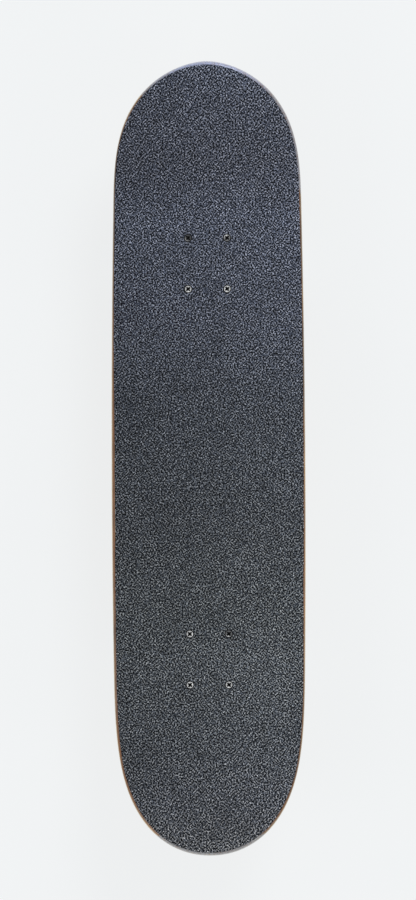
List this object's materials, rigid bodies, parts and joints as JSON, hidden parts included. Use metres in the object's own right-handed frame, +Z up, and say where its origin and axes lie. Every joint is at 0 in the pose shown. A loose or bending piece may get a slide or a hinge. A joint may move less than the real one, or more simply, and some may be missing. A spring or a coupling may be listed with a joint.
{
  "type": "skateboard",
  "caption": "Street skateboard: concave laminated deck with upturned nose and tail, black grip tape, kingpin trucks that steer on urethane bushings and urethane wheels on ball bearings.",
  "frame": {"origin": "middle of the bounding box on the floor the wheels stand on", "axes": "+Y along the board towards the nose, +Z up, X across the board (+X is the rider's right when facing the nose)"},
  "size_m": [0.2052, 0.8234, 0.1446],
  "materials": {
    "maple": "clear lacquer over maple veneer, dyed ply edges",
    "grip": "coarse silicon carbide grit on a polyester film",
    "cast_aluminium": "tumbled raw casting",
    "cup_urethane": "satin",
    "bolt_steel": "zinc-plated",
    "nut_steel": "zinc-plated",
    "bushing_urethane": "satin cast urethane",
    "zinc_steel": "zinc-plated",
    "axle_steel": "ground",
    "screw_steel": "bright zinc heads",
    "wheel_urethane": "satin cast urethane",
    "bearing_steel": "polished",
    "cage_nylon": "satin",
    "shield_steel": "bright",
    "spacer_aluminium": "turned"
  },
  "bodies": {
    "board": {"deck": "maple", "griptape": "grip", "front_baseplate": "cast_aluminium", "front_pivot_cup": "cup_urethane", "front_kingpin": "bolt_steel", "front_kingpin_nut": "nut_steel", "front_boardside_bushing": "bushing_urethane", "front_roadside_bushing": "bushing_urethane", "front_boardside_washer": "zinc_steel", "front_roadside_washer": "zinc_steel", "front_deck_bolts": "screw_steel", "front_deck_bolt_nuts": "nut_steel", "rear_baseplate": "cast_aluminium", "rear_pivot_cup": "cup_urethane", "rear_kingpin": "bolt_steel", "rear_kingpin_nut": "nut_steel", "rear_boardside_bushing": "bushing_urethane", "rear_roadside_bushing": "bushing_urethane", "rear_boardside_washer": "zinc_steel", "rear_roadside_washer": "zinc_steel", "rear_deck_bolts": "screw_steel", "rear_deck_bolt_nuts": "nut_steel"},
    "front_truck": {"front_hanger": "cast_aluminium", "front_axle": "axle_steel", "front_axle_nuts": "nut_steel", "front_speed_rings": "zinc_steel", "front_left_inner_rings": "bearing_steel", "front_left_spacer": "spacer_aluminium", "front_right_inner_rings": "bearing_steel", "front_right_spacer": "spacer_aluminium"},
    "front_left_wheel_set": {"front_left_wheel": "wheel_urethane", "front_left_outer_rings": "bearing_steel", "front_left_shields": "shield_steel"},
    "front_left_ball_set": {"front_left_balls": "bearing_steel", "front_left_cages": "cage_nylon"},
    "front_right_wheel_set": {"front_right_wheel": "wheel_urethane", "front_right_outer_rings": "bearing_steel", "front_right_shields": "shield_steel"},
    "front_right_ball_set": {"front_right_balls": "bearing_steel", "front_right_cages": "cage_nylon"},
    "rear_truck": {"rear_hanger": "cast_aluminium", "rear_axle": "axle_steel", "rear_axle_nuts": "nut_steel", "rear_speed_rings": "zinc_steel", "rear_left_inner_rings": "bearing_steel", "rear_left_spacer": "spacer_aluminium", "rear_right_inner_rings": "bearing_steel", "rear_right_spacer": "spacer_aluminium"},
    "rear_left_wheel_set": {"rear_left_wheel": "wheel_urethane", "rear_left_outer_rings": "bearing_steel", "rear_left_shields": "shield_steel"},
    "rear_left_ball_set": {"rear_left_balls": "bearing_steel", "rear_left_cages": "cage_nylon"},
    "rear_right_wheel_set": {"rear_right_wheel": "wheel_urethane", "rear_right_outer_rings": "bearing_steel", "rear_right_shields": "shield_steel"},
    "rear_right_ball_set": {"rear_right_balls": "bearing_steel", "rear_right_cages": "cage_nylon"}
  },
  "joints": [
    {"name": "front_truck_steer", "type": "hinge", "parent": "board", "child": "front_truck", "pos_m": [0, 0.23278, 0.07051], "axis": [0, 0.8387, 0.5446], "range_deg": [-12, 12], "stiffness_Nm_per_rad": 25, "deforming": ["front_boardside_bushing", "front_roadside_bushing"]},
    {"name": "front_left_wheel_spin", "type": "hinge", "parent": "front_truck", "child": "front_left_wheel_set", "pos_m": [-0.0825, 0.21254, 0.026], "axis": [1, 0, 0], "continuous": true},
    {"name": "front_left_ball_roll", "type": "hinge", "parent": "front_truck", "child": "front_left_ball_set", "pos_m": [-0.0825, 0.21254, 0.026], "axis": [1, 0, 0], "continuous": true},
    {"name": "front_right_wheel_spin", "type": "hinge", "parent": "front_truck", "child": "front_right_wheel_set", "pos_m": [0.0825, 0.21254, 0.026], "axis": [1, 0, 0], "continuous": true},
    {"name": "front_right_ball_roll", "type": "hinge", "parent": "front_truck", "child": "front_right_ball_set", "pos_m": [0.0825, 0.21254, 0.026], "axis": [1, 0, 0], "continuous": true},
    {"name": "rear_truck_steer", "type": "hinge", "parent": "board", "child": "rear_truck", "pos_m": [0, -0.23878, 0.07051], "axis": [0, -0.8387, 0.5446], "range_deg": [-12, 12], "stiffness_Nm_per_rad": 25, "deforming": ["rear_boardside_bushing", "rear_roadside_bushing"]},
    {"name": "rear_left_wheel_spin", "type": "hinge", "parent": "rear_truck", "child": "rear_left_wheel_set", "pos_m": [-0.0825, -0.21854, 0.026], "axis": [1, 0, 0], "continuous": true},
    {"name": "rear_left_ball_roll", "type": "hinge", "parent": "rear_truck", "child": "rear_left_ball_set", "pos_m": [-0.0825, -0.21854, 0.026], "axis": [1, 0, 0], "continuous": true},
    {"name": "rear_right_wheel_spin", "type": "hinge", "parent": "rear_truck", "child": "rear_right_wheel_set", "pos_m": [0.0825, -0.21854, 0.026], "axis": [1, 0, 0], "continuous": true},
    {"name": "rear_right_ball_roll", "type": "hinge", "parent": "rear_truck", "child": "rear_right_ball_set", "pos_m": [0.0825, -0.21854, 0.026], "axis": [1, 0, 0], "continuous": true}
  ],
  "couplings": [
    {"joint": "front_left_ball_roll", "follows": "front_left_wheel_spin", "ratio": 0.6323},
    {"joint": "front_right_ball_roll", "follows": "front_right_wheel_spin", "ratio": 0.6323},
    {"joint": "rear_left_ball_roll", "follows": "rear_left_wheel_spin", "ratio": 0.6323},
    {"joint": "rear_right_ball_roll", "follows": "rear_right_wheel_spin", "ratio": 0.6323}
  ]
}
